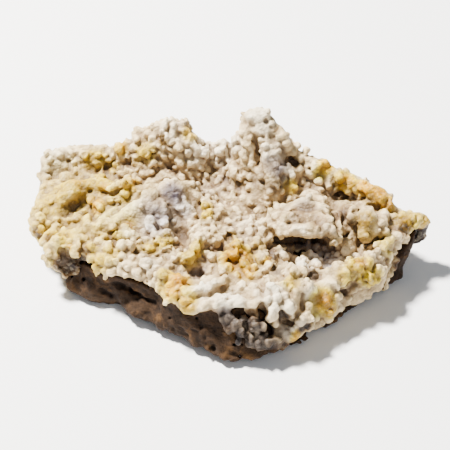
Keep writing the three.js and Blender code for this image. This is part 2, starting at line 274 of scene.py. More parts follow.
# How a line is cut: a row of ever deeper bars, in half-widths from the surface down.
cutPlan = {
    "start": -0.3,
    "step": 0.8,
    "narrowing": 0.3,
    "warp": 0.56,
}


# Cuts each line from the surface down to its depth, so a narrow one is a slot.
def carveLines(field, groups, blend):
    for lines in groups.values():
        for width, depth, line in lines:
            points, ways, sizes = castLine(field, line, width)
            first = cutPlan["start"] * sizes.mean()
            deepest = max(depth - sizes.mean(), first)
            for level in np.append(np.arange(first, deepest, cutPlan["step"] * sizes.mean()), deepest):
                cut = points + ways * level
                radii = sizes * (1 - cutPlan["narrowing"] * max(level, 0) / max(depth, 1))
                for i in range(len(cut) - 1):
                    stamp(field, cut[i], cut[i + 1], radii[i], radii[i + 1], blend, carve=True,
                          warp=cutPlan["warp"])


# Keeps the largest connected surface, so no loose crumb hangs in the air.
def largestBody(points, quads):
    label = np.arange(len(points))
    while True:
        lowest = label[quads].min(1)
        new = label.copy()
        for corner in range(4):
            np.minimum.at(new, quads[:, corner], lowest)
        new = new[new]
        if np.array_equal(new, label):
            break
        label = new
    main = np.bincount(label).argmax()
    keep = label == main
    index = np.cumsum(keep) - 1
    return points[keep], index[quads[keep[quads[:, 0]]]]


def meshFrom(name, field, mostTriangles):
    points, _, quads = openGrid(field).convertToPolygons(isovalue=0)
    points, quads = largestBody((points + gridLow) / mmPerMetre, quads.astype(np.int64))
    mesh = bpy.data.meshes.new(name)
    mesh.from_pydata(points.tolist(), [], quads[:, ::-1].tolist())
    piece = bpy.data.objects.new(name, mesh)
    bpy.context.scene.collection.objects.link(piece)
    count = 2 * len(quads)
    if count > mostTriangles:
        thin = piece.modifiers.new("thin", "DECIMATE")
        thin.ratio = mostTriangles / count
        evaluated = piece.evaluated_get(bpy.context.evaluated_depsgraph_get())
        thinned = bpy.data.meshes.new_from_object(evaluated)
        piece.modifiers.clear()
        piece.data = thinned
    piece.data.name = name
    piece.data.polygons.foreach_set("use_smooth", [True] * len(piece.data.polygons))
    print(name, "has", len(piece.data.polygons), "faces from", count)
    return piece


def vertexPoints(piece):
    points = np.empty(len(piece.data.vertices) * 3)
    piece.data.vertices.foreach_get("co", points)
    return points.reshape(-1, 3) * mmPerMetre


def storeValues(piece, name, values):
    layer = piece.data.attributes.new(name, "FLOAT", "POINT")
    layer.data.foreach_set("value", np.ascontiguousarray(values, np.float32))


# Stores how deep each vertex lies in the dips: each set has the distance kept, the blur's spread in mm,
# and the percentages of all heights that count as deepest and as level.
def storeDips(piece, field, dips):
    points = vertexPoints(piece)
    for name, (reach, spread, deepest, level) in dips.items():
        heights = sampled(blurred(np.clip(field, -reach, reach), spread), points)
        low, high = np.percentile(heights, [deepest, level])
        storeValues(piece, name, np.clip((high - heights) / (high - low), 0, 1))


def newMaterial(name):
    material = bpy.data.materials.new(name)
    material.use_nodes = True
    return material, material.node_tree


def setSocket(tree, socket, value):
    if isinstance(value, bpy.types.NodeSocket):
        tree.links.new(value, socket)
    else:
        socket.default_value = value


def addNode(tree, kind, settings=None, **inputs):
    node = tree.nodes.new(kind)
    for key, value in (settings or {}).items():
        setattr(node, key, value)
    for key, value in inputs.items():
        setSocket(tree, node.inputs[key.replace("_", " ")], value)
    return node


def mixColours(tree, factor, under, over, blend="MIX"):
    node = addNode(tree, "ShaderNodeMix", {"data_type": "RGBA", "blend_type": blend})
    for index, value in ((0, factor), (6, under), (7, over)):  # the colour mix's own sockets
        setSocket(tree, node.inputs[index], value)
    return node.outputs[2]


def mathNode(tree, operation, *values, clamp=False):
    node = addNode(tree, "ShaderNodeMath", {"operation": operation, "use_clamp": clamp})
    for index, value in enumerate(values):
        setSocket(tree, node.inputs[index], value)
    return node.outputs[0]


def rampNode(tree, factor, stops):
    node = tree.nodes.new("ShaderNodeValToRGB")
    ramp = node.color_ramp
    while len(ramp.elements) < len(stops):
        ramp.elements.new(0.5)
    for element, (place, colour) in zip(ramp.elements, stops):
        element.position = place
        element.color = (*colour, 1)
    tree.links.new(factor, node.inputs[0])
    return node.outputs[0]


def noiseNode(tree, where, size, detail, roughness):
    return addNode(tree, "ShaderNodeTexNoise", Vector=where, Scale=mmPerMetre / size, Detail=detail,
                   Roughness=roughness).outputs["Fac"]


def rangeNode(tree, value, **ends):
    return addNode(tree, "ShaderNodeMapRange", Value=value, **ends).outputs[0]


def valueOf(tree, name):
    return addNode(tree, "ShaderNodeAttribute", {"attribute_name": name}).outputs["Fac"]


# Joins a material's colour, roughness and relief to its shader.
def finishSurface(tree, finish, colour, rough, height):
    shader = tree.nodes["Principled BSDF"]
    tree.links.new(colour, shader.inputs["Base Color"])
    least, most = finish["roughness"]
    tree.links.new(rangeNode(tree, rough, To_Min=least, To_Max=most), shader.inputs["Roughness"])
    shader.inputs["Specular IOR Level"].default_value = finish["gloss"]
    bump = addNode(tree, "ShaderNodeBump", Height=height, Distance=finish["relief"], Strength=finish["bump"])
    tree.links.new(bump.outputs[0], shader.inputs["Normal"])
    return shader


# The brown rock. In a finish each noise is given by its size in mm, its detail and its roughness.
rockPlan = {
    "smoothing": 0.7,
    "bumps": [(0.9, 5.0, 3), (0.5, 1.6, 4)],  # height, size and seed
    "grain": [(0.12, 0.8, 5)],
    "slots": {  # half-width in pixels, depth in mm and the line of pixels
        "upper": [
            (2.6, 1.0, [(115, 284), (122, 286), (131, 290)]),
            (1.6, 0.9, [(131, 290), (142, 296), (155, 302)]),
        ],
        "lower": [(2.2, 0.8, [(101, 290), (105, 292), (110, 295)])],
    },
    "slotBlend": 0.6,
    "pores": [(72.5, 276.6, 1.6), (84, 279, 1.4), (214, 345, 1.4), (234, 345, 1.8), (242, 344, 1.4),
              (197, 318, 1.3), (170, 318, 1.2), (240, 356, 1.4)],  # place and half-width in pixels
    "poreDepth": 2.5,
    "poreTaper": 0.7,
    "poreBlend": 0.5,
    "poreWarp": 0.4,
    "triangles": 60000,
    "dips": {"recessShade": (2, 1.0, 2, 55)},  # as storeDips takes them, for painted shade in the pits
    "finish": {
        "layering": (1, 1, 2.2),
        "patches": (12.0, 4.0, 0.55),
        "mottle": (2.5, 5.0, 0.65),
        "grit": (0.6, 3.0, 0.55),
        "patchShare": 0.5,
        "mottleShare": 0.5,
        "tints": [(0.25, (0.011, 0.0055, 0.0027)), (0.45, (0.023, 0.0118, 0.0056)),
                  (0.6, (0.040, 0.0212, 0.0100)), (0.8, (0.085, 0.048, 0.024))],
        "ochre": (0.105, 0.052, 0.018, 1),
        "ochreSpots": (7.0, 4.0, 0.55),
        "ochreFrom": 0.55,  # of the noise, from bare to full
        "ochreTo": 0.75,
        # Painted shade: the dark colour of the pits, where shade falls.
        "pit": (0.010, 0.006, 0.004, 1),
        "pitShare": 0.85,
        "specks": [(0.32, (0.55, 0.5, 0.45)), (0.5, (1, 1, 1))],
        "speckShare": 0.8,
        "roughness": (0.75, 0.95),
        "gloss": 0.15,
        "gritHeight": 0.4,  # against the mottle's own height
        "relief": 0.0008,  # metres
        "bump": 0.8,
    },
}


def growRock():
    field = blurred(distanceField(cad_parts["matrix_rock"]), rockPlan["smoothing"])
    field += noiseSum(rockPlan["bumps"])
    field += noiseSum(rockPlan["grain"])
    spots = np.array(rockPlan["pores"], float)
    points, ways = castPixels(field, spots[:, :2])
    for point, way, spot in zip(points, ways, spots):
        radius = pixelsToMm(spot[2], point)
        stamp(field, point, point + way * rockPlan["poreDepth"], radius, radius * rockPlan["poreTaper"],
              rockPlan["poreBlend"], carve=True, warp=rockPlan["poreWarp"])
    carveLines(field, rockPlan["slots"], rockPlan["slotBlend"])
    heights = (gridLow[2] + voxel * np.arange(gridShape[2])).astype(np.float32)
    return np.maximum(field, -heights[None, None, :])  # flat where it rests


def rockMaterial():
    finish = rockPlan["finish"]
    material, tree = newMaterial("brownRock")
    where = addNode(tree, "ShaderNodeTexCoord").outputs["Object"]
    layered = addNode(tree, "ShaderNodeMapping", Vector=where, Scale=finish["layering"]).outputs[0]
    patches = noiseNode(tree, layered, *finish["patches"])
    mottle = noiseNode(tree, layered, *finish["mottle"])
    grit = noiseNode(tree, where, *finish["grit"])
    shade = mathNode(tree, "MULTIPLY", mottle, finish["mottleShare"])
    shade = mathNode(tree, "MULTIPLY_ADD", patches, finish["patchShare"], shade)
    colour = rampNode(tree, shade, finish["tints"])
    ochre = rangeNode(tree, noiseNode(tree, where, *finish["ochreSpots"]),
                      From_Min=finish["ochreFrom"], From_Max=finish["ochreTo"])
    colour = mixColours(tree, ochre, colour, finish["ochre"])
    # Painted shade in the pits and hollows of the rock.
    pits = mathNode(tree, "MULTIPLY", valueOf(tree, "recessShade"), finish["pitShare"])
    colour = mixColours(tree, pits, colour, finish["pit"])
    specks = rampNode(tree, grit, finish["specks"])
    colour = mixColours(tree, finish["speckShare"], colour, specks, "MULTIPLY")
    height = mathNode(tree, "MULTIPLY_ADD", grit, finish["gritHeight"], mottle)
    finishSurface(tree, finish, colour, mottle, height)
    return material


# The quartz crust. Bars and cuts follow lines of pixels, and the groups are named for their places on it.
crustPlan = {
    "base": 0.35,  # how far the crust between the knobs lies under the outer form
    "smoothing": 1.1,
    "rockClear": 0.15,  # room left to the rock
    "swell": [(0.55, 7.0, 11), (0.45, 3.6, 12)],  # uneven heights: height, size and seed
    # Larger forms: half-width in pixels, lift in mm towards the eye and the line of pixels.
    "forms": {
        "leftTerrace": [
            (6, 0.2, [(36, 214), (44, 205), (50, 196), (56, 186), (66, 179), (78, 175), (92, 177)]),
            (8, -0.6, [(50, 204), (60, 193), (74, 187)]),
            (8, -0.4, [(62, 200), (72, 194), (84, 190)]),
            (3.8, 1.4, [(92, 177), (100, 183), (114, 187), (127, 184), (135, 181)]),
            (3.5, 0.7, [(88, 186), (100, 187), (112, 188)]),
            (2.5, 1.2, [(99, 181), (101, 173)]),
            (6, 0.0, [(34, 222), (40, 229)]),
            (5, 0.6, [(44, 242), (52, 234), (58, 226)]),
            (7, -0.3, [(48, 168), (54, 164), (64, 166)]),
            (8, 0.5, [(82, 160), (92, 159), (100, 161)]),
            (8, -0.3, [(84, 166), (96, 168)]),
            (2.5, 0.6, [(76, 158), (76, 171)]),
        ],
        "backRim": [
            (6, -0.4, [(46, 162), (50, 158), (60, 154), (72, 153), (86, 154), (100, 154), (112, 154),
                       (124, 150), (134, 144)]),
        ],
        "peachBlock": [
            (7, 0.3, [(86, 201), (94, 199)]),
            (6, 0.3, [(99, 206), (101, 215)]),
            (6, 0.2, [(84, 208), (77, 218)]),
            (5, 0.4, [(88, 219), (88, 225)]),
            (6, 0.3, [(110, 200), (115, 199)]),
            (6, 0.4, [(122, 195), (129, 193)]),
        ],
        "longRidge": [
            (5.5, 0.7, [(50, 249), (56, 241), (64, 236), (74, 234), (88, 232), (98, 226), (106, 219),
                        (122, 208), (138, 197), (149, 189)]),
            (6, 0.4, [(149, 189), (157, 183), (165, 177), (173, 175)]),
            (7, -0.6, [(96, 236), (108, 228), (122, 218), (136, 208)]),
            (5, 0.2, [(76, 240), (76, 252)]),
            (5, 0.0, [(90, 240), (91, 258), (96, 268)]),
            (4, 0.8, [(46, 258), (50, 264)]),
        ],
        "bench": [
            (6, 0.3, [(118, 236), (128, 234)]),
            (6, 0.2, [(100, 243), (108, 250)]),
            (7, 0.0, [(124, 250), (130, 247)]),
            (6, 0.0, [(140, 250), (152, 248)]),
            (6, 0.8, [(160, 246), (169, 242)]),
            (6, 0.2, [(143, 264), (149, 265)]),
            (6, 0.0, [(160, 288), (170, 296), (180, 304), (188, 308)]),
            (7, 0.0, [(163, 276), (176, 281)]),
        ],
        "lilacHump": [
            (10, 0.0, [(150, 198), (158, 206), (162, 214)]),
            (8, 0.2, [(150, 207), (161, 211)]),
            (8, -0.5, [(164, 194), (178, 193)]),
            (9, 0.0, [(176, 202), (184, 210), (190, 220)]),
            (7, 0.1, [(150, 224), (162, 226)]),
            (6, 0.1, [(163, 236), (155, 238)]),
        ],
        "midRib": [
            (7, 0.5, [(199, 240), (195, 249)]),
            (7, 0.4, [(190, 258), (182, 260)]),
            (4.5, 0.8, [(206, 201), (207, 220)]),
            (7, 0.2, [(222, 260), (234, 256), (243, 262), (247, 271)]),
            (5, 0.2, [(234, 244), (238, 248)]),
            (4.5, 0.1, [(212, 256), (214, 264)]),
        ],
        "hump": [
            (7, 0.0, [(155, 131), (167, 127), (182, 127)]),
            (4, 1.0, [(157, 126), (155, 146)]),
            (3.6, 1.2, [(165, 124), (165, 136)]),
            (3.8, 1.3, [(173, 124), (172, 142)]),
            (4, 1.1, [(183, 125), (187, 143)]),
            (3.5, 0.9, [(163, 141), (161, 152)]),
            (3.5, 0.9, [(191, 137), (194, 150)]),
            (4.5, 0.6, [(179, 144), (180, 164)]),
            (5, 0.7, [(153, 160), (152, 171)]),
            (7, 0.3, [(146, 152), (140, 156)]),
        ],
        "saddle": [
            (5, 0.4, [(200, 154), (208, 150)]),
            (7, 0.4, [(222, 146), (222, 154)]),
            (5, 0.5, [(237, 139), (238, 153)]),
        ],
        "peak": [
            (9, -0.3, [(251, 119), (258, 118), (265, 122)]),
            (7.5, 0.1, [(252, 117), (263, 117)]),
            (8, 0.0, [(247, 128), (262, 129), (276, 133)]),
            (4.5, 0.7, [(246, 134), (247, 150), (245, 166)]),
            (2.8, 1.0, [(251, 138), (252, 152), (251, 165)]),
            (9, 0.5, [(267, 141), (270, 158), (272, 176)]),
            (7, 0.6, [(272, 176), (274, 197)]),
            (5, 0.4, [(281, 138), (286, 147)]),
            (5, 0.4, [(282, 170), (296, 172)]),
            (5.5, 0.6, [(291, 182), (290, 192)]),
        ],
        "hood": [
            (5.5, 0.8, [(270, 223), (276, 216), (282, 207), (292, 199), (304, 195), (313, 197), (320, 203),
                        (325, 212), (330, 224), (336, 232)]),
            (10, -0.2, [(290, 213), (305, 208), (318, 213)]),
            (8, -0.1, [(284, 221), (300, 220), (316, 220), (327, 224)]),
            (4.5, 0.8, [(268, 227), (282, 228), (297, 229), (311, 228), (322, 229), (334, 230),
                        (344, 230)]),
            (5, 0.4, [(268, 221), (264, 227)]),
        ],
        "flaps": [
            (6.5, 1.4, [(343, 205), (346, 213), (348, 224)]),
            (5, 1.0, [(352, 210), (352, 220)]),
            (3, 1.8, [(361, 202), (357, 208), (352, 209)]),
            (6.5, 1.4, [(367, 205), (369, 218), (366, 231)]),
            (4, 1.4, [(362, 214), (362, 234)]),
            (5, 0.5, [(383, 214), (382, 226)]),
        ],
        "rightCrest": [
            (7, 0.3, [(317, 166), (322, 166)]),
            (5, 0.4, [(330, 176), (329, 190)]),
            (7, 0.4, [(337, 180), (347, 187)]),
            (7, 0.4, [(360, 187), (371, 194), (380, 201)]),
            (5, 0.2, [(325, 168), (338, 175), (353, 183), (370, 190), (381, 199), (390, 209)]),
            (6, 0.2, [(404, 217), (414, 220), (422, 222)]),
        ],
        "rightHollow": [
            (4, 0.7, [(361, 251), (371, 248), (382, 249)]),
            (5, 0.4, [(390, 238), (399, 237)]),
            (7, 0.2, [(346, 272), (356, 266), (366, 264)]),
            (7, 0.2, [(366, 276), (378, 272)]),
            (5, 1.4, [(300, 273), (304, 264), (310, 262), (316, 266)]),
            (3.6, 3.0, [(299, 272), (303, 262), (308, 257), (314, 258), (318, 266)]),
            (3.6, 1.2, [(277, 245), (281, 251), (284, 258)]),
            (4.5, 1.6, [(297, 274), (291, 280), (285, 286)]),
            (17, -2.4, [(322, 301)]),
        ],
        "front": [
            (4.2, 1.2, [(186, 292), (198, 290), (210, 286), (222, 281)]),
            (5.5, 1.2, [(186, 307), (194, 308), (206, 304), (220, 301), (228, 299), (238, 302), (249, 307),
                        (257, 304)]),
            (6.5, 0.2, [(232, 292), (246, 292), (256, 296)]),
            (8, 0.2, [(268, 290), (276, 292)]),
            (5.5, 0.5, [(289, 272), (291, 289)]),
            (6.5, 0.8, [(270, 290), (271, 302), (273, 311)]),
            (3.2, 1.0, [(273, 312), (275, 323)]),
            (6, 0.4, [(286, 304), (290, 309)]),
            (7, 0.2, [(262, 260), (267, 265)]),
        ],
        "underLip": [
            (8, 0.6, [(229, 320), (237, 327)]),
            (6, 0.6, [(242, 320), (243, 331)]),
            (7, 0.6, [(256, 325), (262, 338), (256, 343)]),
            (8, 1.0, [(252, 340), (264, 342)]),
            (10, 1.8, [(283, 331), (289, 333)]),
            (7, 0.8, [(270, 341), (280, 343)]),
            (8, 0.6, [(302, 318), (306, 324)]),
        ],
    },
    "formSunk": 0.55,  # how deep a bar lies, in its half-widths
    "formBlend": 1.2,
    "formWarp": 0.525,
    # Hollows cut before the knobs grow: half-width in pixels, depth in mm and the line of pixels.
    "hollows": {
        "leftTerrace": [(6, 0.2, [(66, 212), (75, 207), (83, 202)])],
        "longRidge": [(8, 2.6, [(66, 257), (76, 261), (86, 264)]), (3, 1.6, [(62, 250), (66, 262)])],
        "lilacHump": [(8, 0.5, [(180, 230), (183, 246)])],
        "midRib": [(5, 1.6, [(193, 273), (203, 271)]), (4, 1.2, [(210, 248), (222, 247)])],
        "hump": [(4, 1.4, [(166, 166), (176, 172)])],
        "saddle": [(3, 1.2, [(225, 176), (228, 182)]), (3, 1.2, [(203, 190), (206, 194)])],
        "cave": [
            (5, 3.0, [(270, 245), (280, 241), (290, 241), (304, 241)]),
            (4.5, 2.0, [(312, 241), (320, 241), (328, 242)]),
            (4.5, 1.2, [(304, 276), (312, 277), (319, 275)]),
        ],
        "flaps": [
            (3.5, 2.4, [(342, 197), (351, 197), (362, 196)]),
            (5, 0.5, [(360, 243), (370, 244), (380, 240)]),
        ],
        "rightCrest": [(3, 1.4, [(338, 194), (346, 196)]), (3, 0.6, [(366, 203), (376, 208)])],
        "rightHollow": [(4, 1.0, [(342, 291), (345, 293)]), (4, 1.0, [(393, 260), (395, 268)])],
        "front": [(4, 1.5, [(262, 308), (264, 320)]), (3.5, 1.2, [(206, 296), (224, 290)])],
    },
    "hollowBlend": 1.4,
    # Slots cut between the knobs, in the same way.
    "gaps": {
        "leftTerrace": [
            (2, 0.5, [(69, 161), (71, 171)]), (2.6, 1.2, [(106, 166), (108, 175)]),
            (1.9, 1.0, [(102, 193), (112, 194), (121, 190)]),
        ],
        "peachBlock": [(1.8, 1.4, [(94, 209), (95, 221)])],
        "longRidge": [(1.8, 1.0, [(84, 243), (83, 252)]), (5, 2.2, [(60, 266), (72, 272), (86, 275)])],
        "lowerEdge": [
            (3, 3.0, [(100, 279), (116, 279), (130, 281), (142, 284), (150, 291), (160, 298), (171, 305),
                      (184, 316)]),
        ],
        "bench": [(1.8, 1.2, [(157, 256), (164, 252), (172, 249)]), (1.8, 1.0, [(113, 241), (115, 247)])],
        "midRib": [(1.8, 1.0, [(229, 235), (232, 240)]), (1.6, 0.9, [(200, 203), (200, 217)])],
        "hump": [(2, 1.0, [(161, 133), (162, 141)]), (2.4, 1.2, [(126, 162), (130, 164)])],
        "saddle": [(2, 1.0, [(230, 146), (231, 158)]), (1.8, 0.8, [(238, 182), (239, 194)])],
        "peak": [
            (1.5, 0.6, [(253, 141), (255, 149), (257, 158)]), (1.7, 0.8, [(265, 120), (267, 122)]),
            (2.2, 1.2, [(287, 160), (292, 158)]),
        ],
        "cave": [
            (3.2, 2.4, [(275, 240), (285, 241), (293, 240), (302, 240)]),
            (2.4, 1.8, [(302, 240), (314, 239), (326, 240)]),
            (2.2, 1.4, [(270, 246), (271, 256), (274, 267)]),
        ],
        "flaps": [
            (3, 3.2, [(331, 208), (334, 217), (338, 226), (341, 232)]),
            (1.8, 0.8, [(355, 212), (356, 231)]), (2, 0.5, [(358, 240), (370, 243), (378, 240)]),
            (2, 0.8, [(378, 206), (379, 216)]),
        ],
        "rightCrest": [(1.8, 1.2, [(337, 194), (346, 196)]), (1.8, 0.5, [(366, 203), (378, 208)])],
        "rightHollow": [(2.2, 0.8, [(342, 290), (345, 293)])],
        "front": [
            (1.5, 0.9, [(200, 296), (210, 294), (224, 289)]),
            (2.6, 1.8, [(261, 304), (262, 312), (264, 318)]),
            (3.2, 1.6, [(256, 313), (246, 312), (238, 311)]), (2, 1.2, [(262, 281), (264, 291)]),
            (2, 1.4, [(302, 294), (303, 310)]),
        ],
        "underLip": [
            (2.6, 1.6, [(281, 312), (284, 320), (291, 324)]), (2, 1.6, [(246, 324), (247, 334)]),
            (2.4, 1.4, [(266, 322), (269, 330), (271, 336)]),
        ],
    },
    "gapBlend": 0.9,
    # Single knobs: place and half-width in pixels.
    "knobs": {
        "leftEdge": [
            (41, 218, 6), (36, 225, 5), (41, 230, 5), (48, 224, 4), (44, 188, 4), (47, 178, 4),
            (47, 169, 4), (46, 163, 4), (51, 159, 4), (60, 155, 4), (72, 153, 4), (86, 157, 4),
            (98, 155, 4), (109, 153, 4), (56, 220, 4), (42, 208, 4), (46, 212, 4),
        ],
        "leftRim": [
            (49, 252, 5), (48, 259, 5), (52, 262, 4), (62, 241, 5), (70, 242, 4), (76, 252, 6),
            (84, 239, 5), (91, 247, 5), (92, 258, 5), (96, 266, 4), (98, 273, 4),
        ],
        "backLeft": [
            (120, 149, 6), (112, 156, 4), (127, 158, 5), (135, 148, 6), (146, 153, 6), (136, 163, 5),
            (116, 165, 4), (113, 173, 4), (121, 175, 4), (137, 140, 6), (143, 174, 4), (128, 171, 4),
            (108, 160, 4), (140, 166, 4), (147, 167, 4), (139, 133, 6), (106, 180, 3),
        ],
        "peach": [
            (91, 200, 5), (100, 207, 5), (112, 200, 6), (125, 194, 6), (98, 217, 4), (88, 225, 5),
            (84, 205, 4), (77, 219, 6), (101, 196, 4), (80, 210, 4), (133, 190, 4),
        ],
        "bench": [
            (98, 242, 5), (97, 250, 4), (108, 249, 6), (98, 261, 4), (118, 236, 6), (127, 235, 5),
            (122, 246, 6), (130, 246, 6), (110, 261, 5), (121, 257, 6), (112, 272, 5), (103, 270, 4),
            (129, 266, 6), (146, 264, 7), (137, 272, 6), (151, 274, 5), (126, 275, 4), (150, 250, 6),
            (146, 240, 4), (139, 250, 5), (112, 228, 5), (156, 268, 4), (160, 262, 4), (174, 256, 5),
            (182, 250, 4), (120, 266, 4), (133, 258, 4), (141, 258, 4),
        ],
        "frontLeft": [
            (162, 274, 6), (160, 287, 5), (170, 285, 5), (181, 281, 6), (174, 295, 6), (184, 289, 4),
            (184, 302, 5), (192, 308, 4), (168, 268, 4), (182, 270, 4), (188, 300, 4),
        ],
        "cubeKnob": [(165, 244, 6), (171, 242, 4), (161, 249, 4)],
        "lilac": [
            (150, 221, 6), (163, 225, 6), (166, 233, 5), (174, 222, 4), (155, 236, 5), (144, 232, 4),
            (158, 216, 4),
        ],
        "midRib": [
            (200, 238, 6), (206, 231, 4), (195, 247, 6), (190, 258, 6), (182, 258, 6), (213, 232, 4),
            (203, 224, 3), (205, 206, 5), (205, 216, 4), (214, 219, 4), (197, 228, 4), (212, 224, 3),
            (175, 260, 5), (220, 228, 3),
        ],
        "gold": [
            (222, 260, 6), (234, 255, 6), (244, 265, 6), (237, 245, 5), (228, 248, 4), (212, 257, 5),
            (250, 276, 5), (236, 277, 5), (222, 272, 5), (210, 274, 5), (204, 280, 4), (228, 268, 5),
        ],
        "front": [
            (261, 259, 6), (268, 266, 5), (254, 268, 4), (258, 276, 5), (266, 282, 5), (283, 286, 5),
            (276, 299, 6), (289, 308, 6), (268, 300, 5), (274, 308, 5), (272, 316, 4.5), (275, 324, 3.8),
            (284, 297, 5), (284, 273, 4), (296, 292, 4), (272, 287, 5), (281, 306, 4), (242, 286, 5),
            (253, 288, 5), (228, 291, 5),
        ],
        "underLip": [
            (227, 318, 7), (236, 325, 7), (229, 329, 5), (243, 319, 5), (243, 332, 6), (254, 320, 5),
            (262, 327, 4.5), (252, 329, 4), (252, 337, 4), (262, 337, 4), (258, 344, 4), (248, 344, 4),
            (268, 343, 4), (239, 341, 4), (301, 321, 6), (309, 326, 5), (296, 326, 4), (268, 331, 3),
        ],
        "roundSide": [
            (338, 296, 5), (308, 306, 5), (314, 316, 6), (328, 318, 5), (339, 308, 5), (330, 312, 4),
        ],
        "goldSide": [
            (358, 268, 6), (346, 274, 6), (337, 268, 5), (368, 263, 6), (379, 270, 6), (386, 278, 5),
            (371, 279, 6), (353, 288, 5), (363, 292, 4), (352, 263, 4), (342, 282, 5), (376, 289, 4),
            (364, 284, 4), (385, 287, 4),
        ],
        "rightSide": [
            (350, 245, 5), (343, 242, 4), (389, 239, 6), (397, 236, 5), (388, 257, 6), (397, 246, 4),
            (394, 252, 4), (376, 242, 4), (384, 214, 5), (394, 218, 5), (388, 228, 4), (398, 228, 4),
            (403, 236, 3), (396, 260, 4), (380, 258, 4), (372, 256, 4), (393, 267, 4), (389, 274, 4),
        ],
        "tip": [
            (404, 216, 5), (412, 218, 4.5), (419, 220, 4.5), (425, 221, 3.5), (408, 223, 5), (416, 225, 4),
        ],
        "crest": [
            (316, 166, 6), (326, 164, 5), (340, 178, 6), (356, 191, 4), (312, 175, 5), (319, 181, 5),
            (329, 186, 5), (321, 190, 4), (334, 190, 4), (360, 197, 5), (348, 192, 4), (389, 210, 4),
            (375, 204, 4),
        ],
        "peakFoot": [
            (301, 158, 5), (309, 161, 5), (292, 175, 4), (300, 170, 5), (263, 176, 5), (262, 187, 4),
            (251, 188, 5), (241, 177, 5), (281, 191, 4), (250, 177, 4), (302, 181, 4), (306, 151, 4),
            (297, 146, 4), (284, 180, 4), (232, 168, 4), (298, 190, 4), (307, 172, 4), (308, 185, 4),
        ],
        "saddle": [
            (203, 153, 6), (211, 155, 5), (222, 151, 7), (222, 144, 5), (236, 140, 5), (196, 161, 4),
            (190, 164, 5), (207, 144, 4), (216, 166, 4), (225, 171, 4), (214, 146, 4), (238, 149, 4),
            (245, 158, 4), (200, 168, 4), (208, 170, 4), (198, 148, 4),
        ],
        "centre": [
            (192, 184, 4), (196, 196, 4), (207, 186, 4), (212, 193, 4), (220, 179, 4), (224, 188, 4),
            (232, 189, 4), (205, 176, 4), (197, 174, 4), (243, 199, 4), (230, 200, 4), (221, 208, 4),
            (236, 210, 4), (250, 204, 4), (246, 219, 4), (234, 222, 4), (258, 212, 5), (258, 226, 5),
            (250, 232, 5), (262, 236, 5), (226, 230, 4), (240, 232, 4), (213, 204, 4), (190, 174, 4),
            (182, 178, 4), (254, 219, 4),
        ],
        "cave": [
            (347, 243, 5), (352, 249, 5), (345, 252, 5), (339, 248, 4), (356, 257, 5), (284, 257, 5),
            (280, 249, 3.5), (294, 258, 4), (291, 268, 5), (309, 249, 4), (317, 247, 5), (331, 246, 4),
            (338, 254, 4), (328, 256, 4), (320, 254, 4), (345, 262, 4), (329, 271, 4), (325, 248, 4),
            (336, 262, 4), (292, 249, 3),
        ],
        "hood": [
            (277, 216, 5), (290, 200, 5), (306, 195, 5), (322, 202, 5), (326, 213, 4), (285, 219, 6),
            (283, 207, 4), (344, 236, 4), (326, 228, 5),
        ],
        "hump": [
            (148, 134, 5), (178, 148, 5), (164, 156, 4), (148, 145, 4), (172, 156, 4), (160, 163, 4),
            (188, 152, 5), (181, 163, 4), (153, 163, 5), (197, 141, 4),
        ],
        "peak": [
            (271, 123, 4), (283, 136, 4), (247, 146, 4), (246, 162, 4), (286, 143, 4), (278, 144, 4),
            (262, 140, 4), (270, 192, 4), (262, 168, 4),
        ],
    },
    "knobBlend": 0.3,
    "knobWarp": 0.35,  # of the half-width, as are the other sizes of a knob
    "placed": {
        "rise": 0.9,  # how far the knob stands out
        "root": 0.5,  # how far its root lies behind it
        "foot": 0.85,  # its half-width at the root
        "warp": 0.9,  # of the warp above
    },
    "strewn": {
        "seed": 21,
        "tried": 60000,  # places, one after another
        "lowestFacing": -0.35,  # no knob where the crust faces further down
        "usual": 3.3,  # half-width in pixels outside the zones
        "usualShare": 0.8,  # share that grows there
        "usualWeight": 0.08,  # where a zone weighs 1 at its middle
        "sizeSpread": 0.3,
        "sizeRange": (0.6, 1.7),
        "clearance": 1.25,  # from a placed knob's middle, in half-widths
        "packing": 1.55,  # from each other's middles
        "turnedAway": 0.3,  # the zones don't hold where the crust faces away from the eye by more
        "turnedShare": 0.8,
        "rise": (0.2, 1.3),
        "outward": 0.6,  # each grows partly straight out and partly up
        "upward": 0.6,
        "wander": 0.2,
        "root": 1.2,
        "tip": 0.78,
        "lobes": 0.6,  # share with a smaller lobe at the side
        "lobeAside": 0.85,
        "lobeWidth": 0.55,
    },
    # Where the strewn knobs differ: place, reach, half-width in pixels and the share of them that grows.
    "zones": [
        (58, 190, 18, 4.0, 0.0), (78, 184, 14, 4.0, 0.0), (70, 210, 14, 4.0, 0.1), (45, 215, 12, 4.5, 0.2),
        (160, 210, 20, 4.0, 0.0), (184, 205, 18, 4.0, 0.05), (184, 234, 14, 3.5, 0.0),
        (130, 203, 14, 4.5, 0.0), (106, 222, 12, 4.5, 0.0), (82, 234, 12, 4.5, 0.0),
        (258, 120, 18, 3.4, 0.0), (268, 150, 14, 3.4, 0.05), (272, 180, 10, 3.4, 0.2),
        (300, 208, 16, 3.6, 0.05), (318, 216, 14, 3.6, 0.05), (310, 228, 16, 3.6, 0.1),
        (335, 234, 8, 3.4, 0.1), (238, 300, 16, 4.0, 0.05), (200, 302, 14, 4.0, 0.05),
        (258, 302, 8, 4.0, 0.1), (230, 165, 22, 3.5, 1.0), (230, 200, 30, 3.2, 1.0),
        (245, 225, 24, 3.1, 1.0), (215, 180, 22, 3.4, 1.0), (205, 228, 14, 2.8, 1.0),
        (122, 256, 30, 3.6, 0.7), (350, 265, 26, 3.6, 0.9), (320, 300, 20, 3.8, 0.0),
        (350, 216, 14, 4.0, 0.0), (367, 218, 12, 4.0, 0.05), (300, 255, 24, 3.0, 1.0),
        (175, 150, 26, 3.4, 0.9), (60, 160, 20, 3.4, 0.6), (372, 192, 16, 4.0, 0.05),
